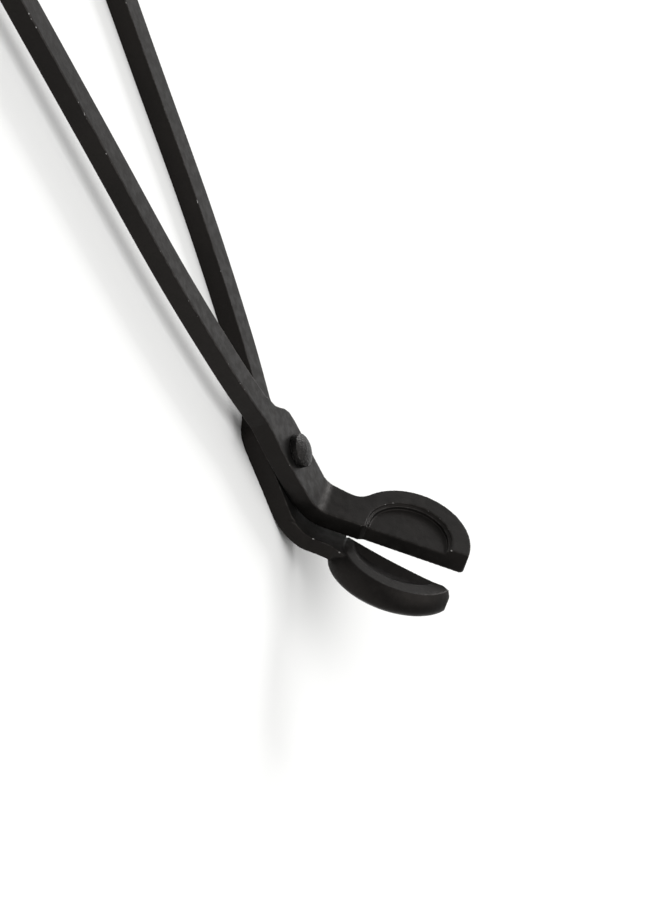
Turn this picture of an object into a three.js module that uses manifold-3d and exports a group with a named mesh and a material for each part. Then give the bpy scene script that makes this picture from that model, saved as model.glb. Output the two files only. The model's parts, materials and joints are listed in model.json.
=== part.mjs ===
// Wick trimmer: two cast halves crossed on one domed rivet, lying on the back of the lower half.
// Millimetres. +Z is up and is the rivet's axis, the jaws point to +X and the finger loops to -X.
// The exported group has its origin under the middle of its box, on the surface that it lies on.
// Each half is drawn in its own frame: pivot axis at the origin, jaw on +Y and handle on -Y.
// The scoop half is the mirror image (side = -1), one bar thickness lower.
// Points on a bent jaw are (u, v): u runs along the jaw from the bend line and v across it.
import * as THREE from "three";
import { mergeVertices } from "three/addons/utils/BufferGeometryUtils.js";
import Module from "manifold-3d";

const wasm = await Module();
wasm.setup();

// Driving dimensions. neckInset narrows a half's neck, and shoulder is how far its pivot plate
// reaches out where the handle leaves it.
const TRAY = { side: 1, neckInset: 0, shoulder: 4.55 };
const SCOOP = { side: -1, neckInset: 0.7, shoulder: 4.9 };
const BAR_THICKNESS = 3.6;
const HALF_GAP = 0.2;
const JAW_CLEARANCE = 0.55;
const OPENING = THREE.MathUtils.degToRad(18.7);

// Bend between the pivot and the jaws, measured on the tray half's upper face
const BEND_X = 10.6;
const BEND_ANGLE = THREE.MathUtils.degToRad(50.3);
const BEND_RADIUS = 3.4;
const JAW_REACH = 31;

// Handle: centre line in the half's frame, widths at its two ends, and the oval finger loop
const HANDLE_LINE = [[0, 0], [-9, -1.92], [-22.5, -4.12], [-45, -5.7], [-72, -5.6], [-102.5, -5.6]];
const HANDLE_WIDTH = { pivot: 4.6, loop: 4.8 };
const HANDLE_STEPS = 40;
const LOOP = { x: -126, y: -7, halfLength: 17.5, halfWidth: 12.4, bar: 3.9, round: 0.9 };
const LOOP_STEPS = 56;
const FLARE_ANGLE = THREE.MathUtils.degToRad(48);

// Pivot plate and neck, on the side away from the other half; the neck's other edge is at NECK_V
const NECK_V = -3.95;
const NECK_START = -8;
const NECK_EDGE = [
  [NECK_START, 4.15], [0, 4.15], [1.35, 4.05], [2.35, 3.8], [3.4, 3.6], [4.5, 3.4], [5.4, 3.35],
  [6.2, 3.5], [7, 3.95],
];

// Upper jaw: a half disc with a rounded tip, a shallow open tray and a ground front edge
const DISC = { u: 17.05, v: -1.7, radius: 11.25 };
const TRAY_TIP = [[28.25, -2.75], [28.1, -3.05], [27.85, -3.3], [27.35, -3.45]];
const FRONT = { startU: 9.3, topV: -2.35, edgeV: -3.45, land: 0.45 };
const POCKET = { u: 16.9, v: -1.85, radius: 7.95, ledge: 0.55, ledgeDepth: 0.4, depth: 1.1 };

// Lower jaw: a thicker half disc with a bulging wall, dished behind its cutting lip, on a neck whose
// upper face lies a small drop under the flat rim. The walls of the disc and the dish are turned
// from (radius, depth under the rim); the disc's leans back to the neck.
const SCOOP_DISC = { u: 17.25, v: -2.9, lean: 0.18 };
const SCOOP_WALL = [[10.45, 0], [11.35, 1.1], [11.95, 2.6], [11.8, 4], [10.5, 5]];
const SCOOP_NECK = { drop: 0.3, thickness: 2.8 };
const SCOOP_EDGE = [[6.4, -3], [10.4, -2.35], [16.2, -1.7], [23.4, -1.5], [26.2, -1.95]];
const SCOOP_TIP = [28.2, -0.9];
const DISH = { u: 16.5, v: -4, lip: 0.4, rise: 2 };
const DISH_WALL = [[0, 1.1], [4.6, 1.1], [7, 0.8], [8.7, 0], [9.6, -0.6]];
const ARC_STEPS = 32;

// Pivot
const SHANK_RADIUS = 1.6;
const BORE_RADIUS = 1.9;
const RIVET_HEAD = { radius: 3.05, wall: 1.2, dome: 0.85, gap: 0.1 };
const RIVET_TAIL = { radius: 2.6, thickness: 0.45 };
const WASHER = { outer: 3.05, inner: 1.9, thickness: 0.45 };
const WASHER_GAP = 0.3;
const ROUND_STEPS = 40;

const COLOURS = { coated: 0x1b1a1a, rivet: 0x121212, steel: 0x8d8f92 };

// Solids and meshes

function toSolid(geometry) {
  const bare = geometry.index ? geometry.toNonIndexed() : geometry.clone();
  bare.deleteAttribute("normal");
  bare.deleteAttribute("uv");
  const merged = mergeVertices(bare, 1e-4);
  return new wasm.Manifold(new wasm.Mesh({
    numProp: 3,
    vertProperties: new Float32Array(merged.attributes.position.array),
    triVerts: new Uint32Array(merged.index.array),
  }));
}

function toMesh(name, solid, colour, roughness, metalness) {
  const { vertProperties, triVerts } = solid.getMesh();
  const geometry = new THREE.BufferGeometry();
  geometry.setAttribute("position", new THREE.BufferAttribute(vertProperties, 3));
  geometry.setIndex(new THREE.BufferAttribute(triVerts, 1));
  geometry.computeVertexNormals();
  const material = new THREE.MeshStandardMaterial({ color: colour, roughness, metalness });
  const mesh = new THREE.Mesh(geometry, material);
  mesh.name = name;
  return mesh;
}

// A closed outline from points in a half's own frame, mirrored for the scoop half.
function outline(points, side) {
  return new THREE.Shape(points.map(([x, y]) => new THREE.Vector2(x, side * y)));
}

function prism(shape, bottom, top) {
  const options = { depth: top - bottom, bevelEnabled: false };
  return new THREE.ExtrudeGeometry(shape, options).translate(0, 0, bottom);
}

function arcPoints(centre, radius, from, to, steps) {
  return Array.from({ length: steps + 1 }, (_, i) => {
    const angle = from + ((to - from) * i) / steps;
    return [centre.u + radius * Math.cos(angle), centre.v + radius * Math.sin(angle)];
  });
}

// Places a solid drawn in (u, v, height over the tray half's upper face) on the bent jaw.
function onJaw(geometry) {
  const along = new THREE.Vector3(Math.cos(BEND_ANGLE), 0, Math.sin(BEND_ANGLE));
  const across = new THREE.Vector3(0, 1, 0);
  const out = new THREE.Vector3().crossVectors(along, across);
  const matrix = new THREE.Matrix4().makeBasis(along, across, out);
  matrix.setPosition(BEND_X, 0, BAR_THICKNESS);
  return toSolid(geometry.applyMatrix4(matrix));
}

// The side view of a bent bar between an upper and a lower face. Each lies a depth under the tray
// half's upper face, given for the flat part and for the jaw.
function bentSlab(upper, lower) {
  const steps = 10;
  const surface = ({ flat, jaw }) => {
    const radius = BEND_RADIUS + flat;
    const cornerX = BEND_X + (jaw - flat * Math.cos(BEND_ANGLE)) / Math.sin(BEND_ANGLE);
    const centreX = cornerX - radius * Math.tan(BEND_ANGLE / 2);
    const centre = new THREE.Vector2(centreX, BAR_THICKNESS + BEND_RADIUS);
    const points = [new THREE.Vector2(LOOP.x - 2 * LOOP.halfLength, BAR_THICKNESS - flat)];
    for (let i = 0; i <= steps; i++) {
      const angle = (BEND_ANGLE * i) / steps;
      points.push(new THREE.Vector2(Math.sin(angle), -Math.cos(angle)).multiplyScalar(radius).add(centre));
    }
    const reach = new THREE.Vector2(Math.cos(BEND_ANGLE), Math.sin(BEND_ANGLE)).multiplyScalar(JAW_REACH);
    points.push(points.at(-1).clone().add(reach));
    return points;
  };
  const shape = new THREE.Shape([...surface(upper).reverse(), ...surface(lower)]);
  const halfWidth = 40;
  return toSolid(prism(shape, -halfWidth, halfWidth).rotateX(Math.PI / 2));
}

// Handle: a bar along its centre line, flared into an oval finger loop

function handleBar(side, bottom, top) {
  const line = new THREE.SplineCurve(HANDLE_LINE.map(([x, y]) => new THREE.Vector2(x, y)));
  const edge = (sign) => Array.from({ length: HANDLE_STEPS + 1 }, (_, i) => {
    const t = i / HANDLE_STEPS;
    const point = line.getPoint(t);
    const tangent = line.getTangent(t);
    const offset = (sign * THREE.MathUtils.lerp(HANDLE_WIDTH.pivot, HANDLE_WIDTH.loop, t)) / 2;
    return [point.x - tangent.y * offset, point.y + tangent.x * offset];
  });
  const points = [...edge(1), ...edge(-1).reverse()];
  return toSolid(prism(outline(points, side), bottom, top));
}

// The flare's two edges leave the bar and the oval along their tangents.
function handleFlare(side, bottom, top) {
  const barEndY = HANDLE_LINE.at(-1)[1];
  const slope = LOOP.halfWidth / (LOOP.halfLength * Math.tan(FLARE_ANGLE));
  const startX = HANDLE_LINE.at(-1)[0];
  const edge = (sign) => {
    const barY = barEndY + (sign * HANDLE_WIDTH.loop) / 2;
    const onOval = new THREE.Vector2(
      LOOP.x + LOOP.halfLength * Math.cos(FLARE_ANGLE),
      LOOP.y + sign * LOOP.halfWidth * Math.sin(FLARE_ANGLE),
    );
    const cornerX = onOval.x + (sign * (onOval.y - barY)) / slope;
    const corner = new THREE.Vector2(cornerX, barY);
    const curve = new THREE.QuadraticBezierCurve(new THREE.Vector2(startX, barY), corner, onOval);
    return curve.getPoints(10).map((p) => [p.x, p.y]);
  };
  const points = [...edge(1), ...edge(-1).reverse()];
  return toSolid(prism(outline(points, side), bottom, top));
}

// The loop is closed over its hole, which fingerHole cuts out of the joined handle.
function loopPlate(side, bottom, top) {
  const { x, y, halfLength, halfWidth, round } = LOOP;
  const shape = new THREE.Shape();
  shape.absellipse(x, side * y, halfLength - round, halfWidth - round, 0, 2 * Math.PI);
  return toSolid(new THREE.ExtrudeGeometry(shape, {
    depth: top - bottom - 2 * round,
    bevelSize: round,
    bevelThickness: round,
    bevelSegments: 2,
    curveSegments: LOOP_STEPS,
  }).translate(0, 0, bottom + round));
}

// A hole with flared mouths, so that the loop's inner edges are rounded as its outer ones are.
function fingerHole(side, bottom, top) {
  const { x, y, halfLength, halfWidth, bar, round } = LOOP;
  const length = halfLength - bar;
  const width = halfWidth - bar;
  const shape = new THREE.Shape();
  shape.absellipse(x, side * y, length, width, 0, 2 * Math.PI);
  const flareMouth = (z) => {
    const mouth = new THREE.Shape();
    mouth.absellipse(x, side * y, length, width, 0, 2 * Math.PI);
    const options = {
      depth: 1,
      bevelSize: round,
      bevelThickness: round,
      bevelSegments: 1,
      curveSegments: LOOP_STEPS,
    };
    return toSolid(new THREE.ExtrudeGeometry(mouth, options).translate(0, 0, z));
  };
  const through = new THREE.ExtrudeGeometry(shape, {
    depth: top - bottom + 2,
    bevelEnabled: false,
    curveSegments: LOOP_STEPS,
  }).translate(0, 0, bottom - 1);
  return toSolid(through).add(flareMouth(top)).add(flareMouth(bottom - 1));
}

// The wide part round the pivot, with the shoulder where the handle leaves it
function pivotPlate({ side, neckInset, shoulder }, bottom, top) {
  const neckEnd = BEND_X + 1.35;
  const points = [
    [-12.6, -4.3], [-8, -4.5], [-3, -4.85], [3.6, -4.8], [7.6, -4.45],
    [BEND_X - 0.3, NECK_V], [neckEnd, NECK_V],
    [neckEnd, 3.7 - neckInset], [BEND_X, 4.15 - neckInset], [4.5, 4.3 - neckInset / 2],
    [-3.7, shoulder], [-5.8, shoulder - 0.25], [-7.3, shoulder - 1.15], [-8.6, 2.05], [-9.8, 1], [-12.6, 0],
  ];
  return toSolid(prism(outline(points, side), bottom, top));
}

function cylinderAt(radius, bottom, top) {
  const cylinder = new THREE.CylinderGeometry(radius, radius, top - bottom, ROUND_STEPS);
  return toSolid(cylinder.rotateX(Math.PI / 2).translate(0, 0, (top + bottom) / 2));
}

// The flat part of a half, drawn as an upright prism; the bent slab gives it its thickness.
function flatPlan(half, bottom, top) {
  const handle = handleBar(half.side, bottom, top)
    .add(handleFlare(half.side, bottom, top))
    .add(loopPlate(half.side, bottom, top))
    .subtract(fingerHole(half.side, bottom, top));
  return handle.add(pivotPlate(half, bottom - 1, top + JAW_REACH));
}

// Upper jaw

function trayJaw() {
  const { startU, topV, edgeV } = FRONT;
  const from = Math.PI * 0.805;
  const to = Math.asin((topV - DISC.v) / DISC.radius);
  const points = [
    ...NECK_EDGE,
    ...arcPoints(DISC, DISC.radius, from, to, ARC_STEPS),
    ...TRAY_TIP,
    [startU, edgeV], [startU - 0.9, NECK_V], [NECK_START, NECK_V],
  ];
  const plate = onJaw(prism(outline(points, TRAY.side), -BAR_THICKNESS - 1, 1));
  return plate.subtract(frontGrind());
}

// What is ground off the front so that only a narrow land stays at the cutting edge
function frontGrind() {
  const { startU, topV, edgeV, land } = FRONT;
  const margin = 1;
  const slope = (topV - edgeV) / (BAR_THICKNESS - land);
  const profile = outline([
    [edgeV, land - BAR_THICKNESS],
    [topV + slope * margin, margin],
    [edgeV - 2 * margin, margin],
    [edgeV - 2 * margin, land - BAR_THICKNESS],
  ], 1);
  const turn = new THREE.Matrix4().makeBasis(
    new THREE.Vector3(0, 1, 0),
    new THREE.Vector3(0, 0, 1),
    new THREE.Vector3(1, 0, 0),
  );
  return onJaw(prism(profile, startU, JAW_REACH + 4).applyMatrix4(turn));
}

// The tray has a narrow ledge round its floor and is open at the front.
function trayPocket() {
  const cut = (radius, depth) => {
    const points = arcPoints(POCKET, radius, Math.PI, 0, ARC_STEPS);
    points.push([POCKET.u + radius, FRONT.edgeV - 2], [POCKET.u - radius, FRONT.edgeV - 2]);
    return onJaw(prism(outline(points, TRAY.side), -depth, 2));
  };
  return cut(POCKET.radius, POCKET.ledgeDepth).add(cut(POCKET.radius - POCKET.ledge, POCKET.depth));
}

// Lower jaw

function scoopEdge(offset) {
  const line = new THREE.SplineCurve(SCOOP_EDGE.map(([u, v]) => new THREE.Vector2(u, v + offset)));
  return line.getPoints(20).map((p) => [p.x, p.y]);
}

// The half disc, turned from its wall's profile and cut off along the lip.
function scoopBlock(topDepth) {
  const underside = SCOOP_WALL.at(-1)[1];
  const wall = new THREE.SplineCurve(SCOOP_WALL.map(([r, depth]) => new THREE.Vector2(r, -depth)));
  const profile = [
    new THREE.Vector2(0, -underside),
    ...wall.getPoints(14).reverse(),
    new THREE.Vector2(0, 0),
  ];
  const lean = new THREE.Matrix4().makeShear(0, 0, 0, 0, SCOOP_DISC.lean, 0);
  const disc = new THREE.LatheGeometry(profile, 2 * ARC_STEPS).rotateX(Math.PI / 2).applyMatrix4(lean);
  const neckSide = [0, SCOOP_EDGE[0][1]];
  const behindLip = outline([...scoopEdge(0), SCOOP_TIP, [JAW_REACH, 20], [0, 20], neckSide], SCOOP.side);
  return onJaw(disc.translate(SCOOP_DISC.u, SCOOP.side * SCOOP_DISC.v, -topDepth))
    .intersect(onJaw(prism(behindLip, -topDepth - underside - 1, 1 - topDepth)));
}

function scoopNeck(topDepth) {
  const neckEdge = NECK_EDGE.map(([u, v]) => [u, v - SCOOP.neckInset]);
  const points = [...neckEdge, [8.5, 3.9], [10.8, 1.8], SCOOP_EDGE[0], [6.1, NECK_V], [NECK_START, NECK_V]];
  return onJaw(prism(outline(points, SCOOP.side), -topDepth - BAR_THICKNESS - 1, 1 - topDepth));
}

// What is hollowed out behind the lip: turned from (radius, depth) points, which end above the rim.
// Along the lip the floor rises by one part in DISH.rise.
function scoopDish(topDepth) {
  const { u, v, lip, rise } = DISH;
  const wall = new THREE.SplineCurve(DISH_WALL.map(([r, depth]) => new THREE.Vector2(r, -depth)));
  const top = -DISH_WALL.at(-1)[1];
  const floor = -DISH_WALL[0][1];
  const profile = [...wall.getPoints(14), new THREE.Vector2(0, top)];
  const hollow = new THREE.LatheGeometry(profile, 2 * ARC_STEPS).rotateX(Math.PI / 2);
  const lean = new THREE.Matrix4().makeShear(0, 0, 0, 0, 0, -SCOOP.side * rise);
  const behindLip = outline([...scoopEdge(lip), [JAW_REACH, 20], [0, 20]], SCOOP.side);
  const wedge = prism(behindLip, floor - 1, top + 1).applyMatrix4(lean).translate(0, 0, -topDepth);
  return onJaw(hollow.translate(u, SCOOP.side * v, -topDepth)).intersect(onJaw(wedge));
}

// The two halves

function trayHalf() {
  const bottom = 0;
  const top = BAR_THICKNESS;
  const slab = bentSlab({ flat: 0, jaw: 0 }, { flat: BAR_THICKNESS, jaw: BAR_THICKNESS });
  const washerSeat = (WASHER.thickness + 2 * WASHER_GAP - HALF_GAP) / 2;
  return flatPlan(TRAY, bottom, top)
    .add(trayJaw())
    .intersect(slab)
    .subtract(trayPocket())
    .subtract(cylinderAt(BORE_RADIUS, bottom - 1, top + 1))
    .subtract(cylinderAt(WASHER.outer + WASHER_GAP, bottom - 1, bottom + washerSeat));
}

function scoopHalf() {
  const flatDepth = BAR_THICKNESS + HALF_GAP;
  const topDepth = flatDepth + JAW_CLEARANCE;
  const top = -HALF_GAP;
  const bottom = top - BAR_THICKNESS;
  const neckDepth = topDepth + SCOOP_NECK.drop;
  const slab = bentSlab(
    { flat: flatDepth, jaw: neckDepth },
    { flat: flatDepth + BAR_THICKNESS, jaw: neckDepth + SCOOP_NECK.thickness },
  );
  const washerSeat = (WASHER.thickness + 2 * WASHER_GAP - HALF_GAP) / 2;
  const tailSeat = RIVET_TAIL.thickness + WASHER.thickness + 2 * WASHER_GAP;
  return flatPlan(SCOOP, bottom, top)
    .add(scoopNeck(topDepth))
    .intersect(slab)
    .add(scoopBlock(topDepth))
    .subtract(scoopDish(topDepth))
    .subtract(cylinderAt(BORE_RADIUS, bottom - 1, top + 1))
    .subtract(cylinderAt(WASHER.outer + WASHER_GAP, top - washerSeat, top + 1))
    .subtract(cylinderAt(WASHER.outer + WASHER_GAP, bottom - 1, bottom + tailSeat));
}

// Pivot pieces, turned about the rivet's axis

function turned(profile) {
  const points = profile.map(([radius, z]) => new THREE.Vector2(radius, z));
  return toSolid(new THREE.LatheGeometry(points, ROUND_STEPS).rotateX(Math.PI / 2));
}

function rivet() {
  const { radius, wall, dome, gap } = RIVET_HEAD;
  const seat = BAR_THICKNESS + gap;
  const tailBottom = -HALF_GAP - BAR_THICKNESS;
  const tailTop = tailBottom + RIVET_TAIL.thickness;
  const domeRadius = (radius * radius + dome * dome) / (2 * dome);
  const domeSteps = 8;
  const profile = [
    [0, tailBottom], [RIVET_TAIL.radius, tailBottom], [RIVET_TAIL.radius, tailTop],
    [SHANK_RADIUS, tailTop], [SHANK_RADIUS, seat], [radius, seat], [radius, seat + wall],
  ];
  for (let i = 1; i <= domeSteps; i++) {
    const r = radius * (1 - i / domeSteps);
    profile.push([r, seat + wall + dome - domeRadius + Math.sqrt(domeRadius * domeRadius - r * r)]);
  }
  return turned(profile);
}

function washer(bottom) {
  const { outer, inner, thickness } = WASHER;
  const top = bottom + thickness;
  return turned([[inner, bottom], [outer, bottom], [outer, top], [inner, top], [inner, bottom]]);
}

// Assembly

function assemble() {
  const upper = new THREE.Group();
  upper.rotation.z = OPENING / 2;
  upper.add(toMesh("tray_half", trayHalf(), COLOURS.coated, 0.5, 0.2));

  const lower = new THREE.Group();
  lower.rotation.z = -OPENING / 2;
  lower.add(toMesh("scoop_half", scoopHalf(), COLOURS.coated, 0.5, 0.2));

  const frictionWasherZ = -(HALF_GAP + WASHER.thickness) / 2;
  const tailWasherZ = -HALF_GAP - BAR_THICKNESS + RIVET_TAIL.thickness + WASHER_GAP;
  const pivot = new THREE.Group();
  pivot.add(toMesh("pivot_rivet", rivet(), COLOURS.rivet, 0.55, 0.3));
  pivot.add(toMesh("friction_washer", washer(frictionWasherZ), COLOURS.steel, 0.35, 1));
  pivot.add(toMesh("tail_washer", washer(tailWasherZ), COLOURS.steel, 0.35, 1));

  const trimmer = new THREE.Group();
  trimmer.add(lower, upper, pivot);
  const box = new THREE.Box3().setFromObject(trimmer, true);
  const middle = box.getCenter(new THREE.Vector3());
  trimmer.position.set(-middle.x, -middle.y, -box.min.z);
  return trimmer;
}

export default assemble();
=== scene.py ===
"""Looks of a candle wick trimmer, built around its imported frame. Metres, row frame: the trimmer
lies on the floor at z = 0, its jaws point to +X and the pivot rivet's domed head is up."""
import json

import bpy
import numpy as np
from mathutils import Matrix, Vector, noise


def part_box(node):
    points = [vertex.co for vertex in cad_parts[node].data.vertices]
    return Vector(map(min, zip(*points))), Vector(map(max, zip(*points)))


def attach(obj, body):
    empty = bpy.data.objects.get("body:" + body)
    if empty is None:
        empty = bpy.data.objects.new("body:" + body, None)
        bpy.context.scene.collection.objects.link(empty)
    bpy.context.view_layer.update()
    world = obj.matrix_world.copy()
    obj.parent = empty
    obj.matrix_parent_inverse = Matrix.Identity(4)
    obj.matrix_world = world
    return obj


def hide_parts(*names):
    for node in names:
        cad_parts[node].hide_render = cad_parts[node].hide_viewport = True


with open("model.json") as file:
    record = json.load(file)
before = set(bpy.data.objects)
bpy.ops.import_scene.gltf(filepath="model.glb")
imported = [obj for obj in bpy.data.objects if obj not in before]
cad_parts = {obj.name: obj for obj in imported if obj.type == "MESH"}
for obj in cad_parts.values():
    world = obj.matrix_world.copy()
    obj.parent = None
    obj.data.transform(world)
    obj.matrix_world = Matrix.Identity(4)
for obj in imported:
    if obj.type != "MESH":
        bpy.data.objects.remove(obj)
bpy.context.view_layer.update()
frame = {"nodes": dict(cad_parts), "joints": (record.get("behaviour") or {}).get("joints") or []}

MM = 0.001

# How finely each piece is rebuilt: the voxel size, the rounds of smoothing, and the share of its
# faces that stays. The first two round the halves' edges to a radius of about 0.2 mm, and the
# rivet's to about 0.1 mm.
HALF_FINISH = {"voxel": 0.12 * MM, "smoothing": 8, "kept": 0.26}
RIVET_FINISH = {"voxel": 0.08 * MM, "smoothing": 4, "kept": 1.0}

# The rivet's head: where its dents start over the tray half's lower face, and their size
DENTS = {"start": 3.9 * MM, "fade": 0.3 * MM, "depth": 0.05 * MM, "period": 0.75 * MM}
WASHER_EDGE = 0.06 * MM


# Camera: its direction, and its place set out from the pivot

PIVOT = Vector(frame["joints"][0]["pos_m"][:2] + [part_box("tray_half")[0].z])
VIEW_BACK = Vector((-0.35208, -0.83591, 0.42105))
VIEW_UP = Vector((-0.8568, 0.46892, 0.2145))
VIEW_RIGHT = VIEW_UP.cross(VIEW_BACK)
VIEW_PLACE = PIVOT + Vector((-183.26, -437.95, 230.18)) * MM
SENSOR = 36
LENS = 118


def make_camera():
    data = bpy.data.cameras.new("camera")
    data.sensor_width = SENSOR
    data.lens = LENS
    camera = bpy.data.objects.new("camera", data)
    turn = Matrix((VIEW_RIGHT, VIEW_UP, VIEW_BACK)).transposed().to_4x4()
    camera.matrix_world = Matrix.Translation(VIEW_PLACE) @ turn
    bpy.context.scene.collection.objects.link(camera)
    bpy.context.scene.camera = camera


make_camera()


# Stage: a pale floor, a soft white world and three soft boxes

FLOOR_HALF = 3
WORLD_STRENGTH = 0.38

# Each soft box: its direction from the pivot, distance, size and power. The first is what the flat
# upper faces reflect to the camera, the second what the bend reflects; the third lights the floor.
SOFT_BOXES = {
    "back_box": ((0.42, 0.81, 0.42), 2, 1.2, 5.5),
    "bend_box": ((-0.19, 0.84, 0.51), 2, 0.6, 17),
    "top_box": ((-0.1, -0.2, 1), 1.3, 1.8, 16),
}


def make_floor():
    half = FLOOR_HALF
    corners = [(-half, -half, 0), (half, -half, 0), (half, half, 0), (-half, half, 0)]
    mesh = bpy.data.meshes.new("floor")
    mesh.from_pydata(corners, [], [(0, 1, 2, 3)])
    floor = bpy.data.objects.new("floor", mesh)
    bpy.context.scene.collection.objects.link(floor)
    material = bpy.data.materials.new("floor")
    material.use_nodes = True
    shader = material.node_tree.nodes["Principled BSDF"]
    shader.inputs["Base Color"].default_value = (0.9, 0.9, 0.89, 1)
    shader.inputs["Roughness"].default_value = 0.9
    shader.inputs["Specular IOR Level"].default_value = 0.1
    mesh.materials.append(material)


def make_world(strength):
    world = bpy.data.worlds.new("studio")
    world.use_nodes = True
    background = world.node_tree.nodes["Background"]
    background.inputs["Color"].default_value = (1, 1, 1, 1)
    background.inputs["Strength"].default_value = strength
    bpy.context.scene.world = world


def soft_box(name, direction, distance, size, power):
    data = bpy.data.lights.new(name, "AREA")
    data.shape = "SQUARE"
    data.size = size
    data.energy = power
    light = bpy.data.objects.new(name, data)
    away = Vector(direction).normalized()
    light.location = PIVOT + away * distance
    light.rotation_mode = "QUATERNION"
    light.rotation_quaternion = away.to_track_quat("Z", "Y")
    bpy.context.scene.collection.objects.link(light)


make_floor()
make_world(WORLD_STRENGTH)
for name, box in SOFT_BOXES.items():
    soft_box(name, *box)
bpy.context.scene.view_settings.view_transform = "Standard"


# Node materials

class Nodes:
    """A material's node tree, built by short calls. Coordinates are the piece's own, so a pattern
    stays on the metal when the piece moves."""

    def __init__(self, name):
        self.material = bpy.data.materials.new(name)
        self.material.use_nodes = True
        self.tree = self.material.node_tree
        self.shader = self.tree.nodes["Principled BSDF"]
        self.place = self.add("ShaderNodeTexCoord").outputs["Object"]

    def add(self, kind, **inputs):
        node = self.tree.nodes.new(kind)
        for key, value in inputs.items():
            self.put(node.inputs[key.replace("_", " ")], value)
        return node

    def put(self, socket, value):
        if isinstance(value, bpy.types.NodeSocket):
            self.tree.links.new(value, socket)
        else:
            socket.default_value = value

    def finish(self, **values):
        for key, value in values.items():
            self.put(self.shader.inputs[key.replace("_", " ")], value)
        return self.material

    def noise(self, period, detail=3.0, place=None):
        """Noise from 0 to 1 whose largest features are about one period across."""
        where = self.place if place is None else place
        node = self.add("ShaderNodeTexNoise", Vector=where, Scale=1 / period, Detail=detail)
        return node.outputs["Fac"]

    def cells(self, period):
        """Distance to the nearest of scattered points about one period apart."""
        node = self.add("ShaderNodeTexVoronoi", Vector=self.place, Scale=1 / period)
        return node.outputs["Distance"]

    def attribute(self, name):
        node = self.tree.nodes.new("ShaderNodeAttribute")
        node.attribute_name = name
        return node.outputs["Fac"]

    def math(self, operation, a, b):
        node = self.tree.nodes.new("ShaderNodeMath")
        node.operation = operation
        self.put(node.inputs[0], a)
        self.put(node.inputs[1], b)
        return node.outputs["Value"]

    def ramp(self, value, low, high, to_low=0.0, to_high=1.0):
        """A smooth step from to_low, where the value is low, to to_high, where it is high."""
        limits = {"From_Min": low, "From_Max": high, "To_Min": to_low, "To_Max": to_high}
        node = self.add("ShaderNodeMapRange", Value=value, **limits)
        node.interpolation_type = "SMOOTHSTEP"
        return node.outputs["Result"]

    def mix(self, share, a, b):
        node = self.add("ShaderNodeMixRGB", Fac=share, Color1=a, Color2=b)
        return node.outputs["Color"]

    def bump(self, height, depth, under=None):
        node = self.add("ShaderNodeBump", Height=height, Distance=depth)
        if under is not None:
            self.put(node.inputs["Normal"], under)
        return node.outputs["Normal"]


def grey(level, warmth=0.0):
    return (level * (1 + warmth), level, level * (1 - warmth), 1)


def coated_metal():
    """Matte black powder coat: fine orange peel, faint clouding, edges painted lighter (partly
    rubbed wear, partly a painted highlight) and a few chips.
    """
    nodes = Nodes("coated_metal")
    clouds = nodes.noise(11 * MM, 4)
    mottle = nodes.noise(1.6 * MM, 5)
    grain = nodes.noise(0.22 * MM, 2)
    edge = nodes.attribute("edge")

    coat = nodes.mix(nodes.ramp(clouds, 0.35, 0.65), grey(0.0032, 0.04), grey(0.0052, 0.08))
    coat = nodes.mix(nodes.ramp(mottle, 0.5, 0.75, 0, 0.5), coat, grey(0.009, 0.06))
    uneven = nodes.math("MULTIPLY", nodes.math("SUBTRACT", mottle, 0.5), 0.12)
    # Edges painted lighter: partly rubbed wear, partly a painted highlight standing in for the
    # thin light lines the edges catch
    rubbed = nodes.ramp(nodes.math("ADD", edge, uneven), 0.045, 0.13)
    coat = nodes.mix(nodes.math("MULTIPLY", rubbed, 0.75), coat, grey(0.045, 0.05))
    chip_places = nodes.ramp(nodes.noise(0.75 * MM, 4), 0.675, 0.7)
    chipped = nodes.math("MULTIPLY", chip_places, nodes.ramp(edge, 0.055, 0.08))
    colour = nodes.mix(chipped, coat, grey(0.42, 0.02))

    roughness = nodes.ramp(mottle, 0.3, 0.7, 0.38, 0.54)
    roughness = nodes.math("SUBTRACT", roughness, nodes.math("MULTIPLY", rubbed, 0.1))
    peel = nodes.bump(grain, 0.015 * MM)
    waves = nodes.bump(mottle, 0.045 * MM, peel)
    return nodes.finish(
        Base_Color=colour,
        Roughness=roughness,
        Metallic=chipped,
        Specular_IOR_Level=0.17,
        Specular_Tint=(1, 0.9, 0.84, 1),
        Normal=waves,
    )


def rivet_metal():
    """Blackened rivet: a hammered, pitted head, bright where the blows have rubbed it."""
    nodes = Nodes("rivet_metal")
    edge = nodes.attribute("edge")
    pits = nodes.cells(0.42 * MM)
    specks = nodes.noise(0.3 * MM, 5)
    patches = nodes.ramp(nodes.noise(0.8 * MM, 4), 0.45, 0.6)
    rubbed = nodes.math("MULTIPLY", patches, nodes.ramp(edge, 0.03, 0.12))
    colour = nodes.mix(nodes.ramp(specks, 0.5, 0.7), grey(0.003, 0.03), grey(0.016, 0.05))
    colour = nodes.mix(rubbed, colour, grey(0.16, 0.03))
    roughness = nodes.ramp(specks, 0.35, 0.65, 0.5, 0.34)
    hammered = nodes.bump(pits, 0.05 * MM)
    return nodes.finish(
        Base_Color=colour,
        Roughness=roughness,
        Metallic=nodes.math("MULTIPLY", rubbed, 0.6),
        Specular_IOR_Level=0.22,
        Specular_Tint=(1, 0.94, 0.9, 1),
        Normal=nodes.bump(specks, 0.06 * MM, hammered),
    )


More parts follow.
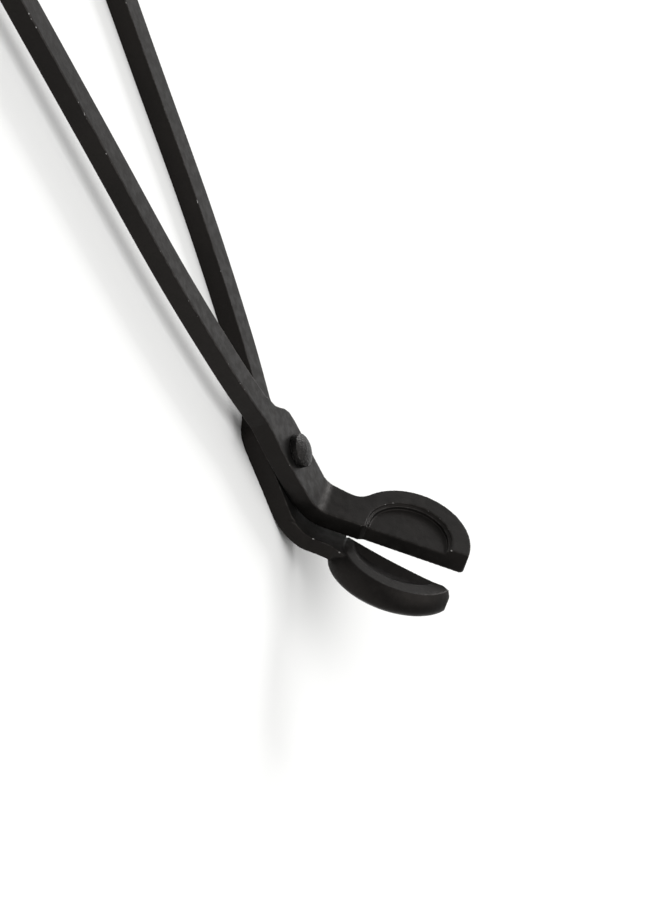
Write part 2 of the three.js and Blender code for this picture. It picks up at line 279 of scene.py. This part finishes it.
def bare_steel():
    """Turned steel washers: fine rings about the rivet's axis, with dull patches."""
    nodes = Nodes("bare_steel")
    from_axis = nodes.add("ShaderNodeVectorMath", Vector=nodes.place)
    from_axis.operation = "SUBTRACT"
    from_axis.inputs[1].default_value = PIVOT
    flat = nodes.add("ShaderNodeVectorMath", Vector=from_axis.outputs["Vector"])
    flat.operation = "MULTIPLY"
    flat.inputs[1].default_value = (1, 1, 0)
    radius = nodes.add("ShaderNodeVectorMath", Vector=flat.outputs["Vector"])
    radius.operation = "LENGTH"
    where = nodes.add("ShaderNodeCombineXYZ", X=radius.outputs["Value"]).outputs["Vector"]
    rings = nodes.noise(0.07 * MM, 3, where)
    patches = nodes.noise(1.1 * MM, 4)
    colour = nodes.mix(nodes.ramp(patches, 0.4, 0.7), grey(0.5, 0.01), grey(0.36, 0.03))
    dull = nodes.ramp(patches, 0.3, 0.7, 0.26, 0.42)
    roughness = nodes.math("ADD", dull, nodes.math("MULTIPLY", rings, 0.08))
    return nodes.finish(
        Base_Color=colour,
        Roughness=roughness,
        Metallic=1.0,
        Normal=nodes.bump(rings, 0.006 * MM),
    )


# Pieces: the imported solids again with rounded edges, as dense meshes

def apply_modifiers(piece):
    bpy.context.view_layer.update()
    graph = bpy.context.evaluated_depsgraph_get()
    mesh = bpy.data.meshes.new_from_object(piece.evaluated_get(graph), depsgraph=graph)
    piece.modifiers.clear()
    piece.data = mesh


def rounded_copy(node, name, voxel, smoothing, kept):
    """A dense copy of a CAD node with its edges rounded off. Only the share of its faces named by
    kept stays, and most of that on the edges."""
    piece = bpy.data.objects.new(name, frame["nodes"][node].data.copy())
    bpy.context.scene.collection.objects.link(piece)
    remesh = piece.modifiers.new("remesh", "REMESH")
    remesh.mode = "VOXEL"
    remesh.voxel_size = voxel
    smooth = piece.modifiers.new("smooth", "SMOOTH")
    smooth.factor = 0.5
    smooth.iterations = smoothing
    apply_modifiers(piece)
    mark_edges(piece.data)
    if kept < 1:
        piece.modifiers.new("decimate", "DECIMATE").ratio = kept
        apply_modifiers(piece)
    piece.data.materials.clear()
    piece.data.shade_smooth()
    return piece


def vectors(items, key, length):
    """What key names in the items, as an array with a row of this length for each item."""
    values = np.zeros(len(items) * length, np.float32 if key in ("co", "vector") else np.int32)
    items.foreach_get(key, values)
    return values.reshape(-1, length)


def neighbour_mean(values, edges, count):
    """The mean, at each vertex, of the values at the count vertices that edges join to it."""
    total = np.zeros_like(values)
    np.add.at(total, edges[:, 0], values[edges[:, 1]])
    np.add.at(total, edges[:, 1], values[edges[:, 0]])
    return total / count


def mark_edges(mesh):
    """Stores how convex the surface is at each vertex: 0 on a flat, positive on an outer edge."""
    points = vectors(mesh.vertices, "co", 3)
    normals = vectors(mesh.vertex_normals, "vector", 3)
    edges = vectors(mesh.edges, "vertices", 2)
    count = np.maximum(np.bincount(edges.ravel(), minlength=len(points)), 1)[:, None]
    spacing = np.linalg.norm(points[edges[:, 0]] - points[edges[:, 1]], axis=1).mean()
    inward = points - neighbour_mean(points, edges, count)
    convex = (inward * normals).sum(1, keepdims=True) / spacing
    for _ in range(3):
        convex = (convex + neighbour_mean(convex, edges, count)) / 2
    attribute = mesh.attributes.new("edge", "FLOAT", "POINT")
    attribute.data.foreach_set("value", convex.astype(np.float32).ravel())


def finished(piece, node, body, material):
    piece.data.materials.append(material)
    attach(piece, body)
    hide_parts(node)


def make_halves(material):
    for node, body in (("tray_half", "upper_half"), ("scoop_half", "lower_half")):
        piece = rounded_copy(node, node + "_coated", **HALF_FINISH)
        finished(piece, node, body, material)


def hammer_head(mesh, start, fade, depth, period):
    """Dents the rivet's head, which is all of it above the tray half."""
    head_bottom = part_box("tray_half")[0].z + start
    points = vectors(mesh.vertices, "co", 3)
    normals = vectors(mesh.vertex_normals, "vector", 3)
    share = np.clip((points[:, 2] - head_bottom) / fade, 0, 1)
    for i in np.nonzero(share)[0]:
        where = Vector(points[i]) / period
        dent = 0.5 + noise.noise(where) + 0.5 * noise.noise(where * 2.2)
        points[i] -= normals[i] * depth * share[i] * dent
    mesh.vertices.foreach_set("co", points.ravel())
    mesh.update()


def make_rivet(material):
    piece = rounded_copy("pivot_rivet", "pivot_rivet_hammered", **RIVET_FINISH)
    hammer_head(piece.data, **DENTS)
    finished(piece, "pivot_rivet", "lower_half", material)


def dress_washers(material):
    for node in ("friction_washer", "tail_washer"):
        washer = frame["nodes"][node]
        washer.data.materials.clear()
        washer.data.materials.append(material)
        bevel = washer.modifiers.new("rounded edges", "BEVEL")
        bevel.width = WASHER_EDGE
        bevel.segments = 2


make_halves(coated_metal())
make_rivet(rivet_metal())
dress_washers(bare_steel())
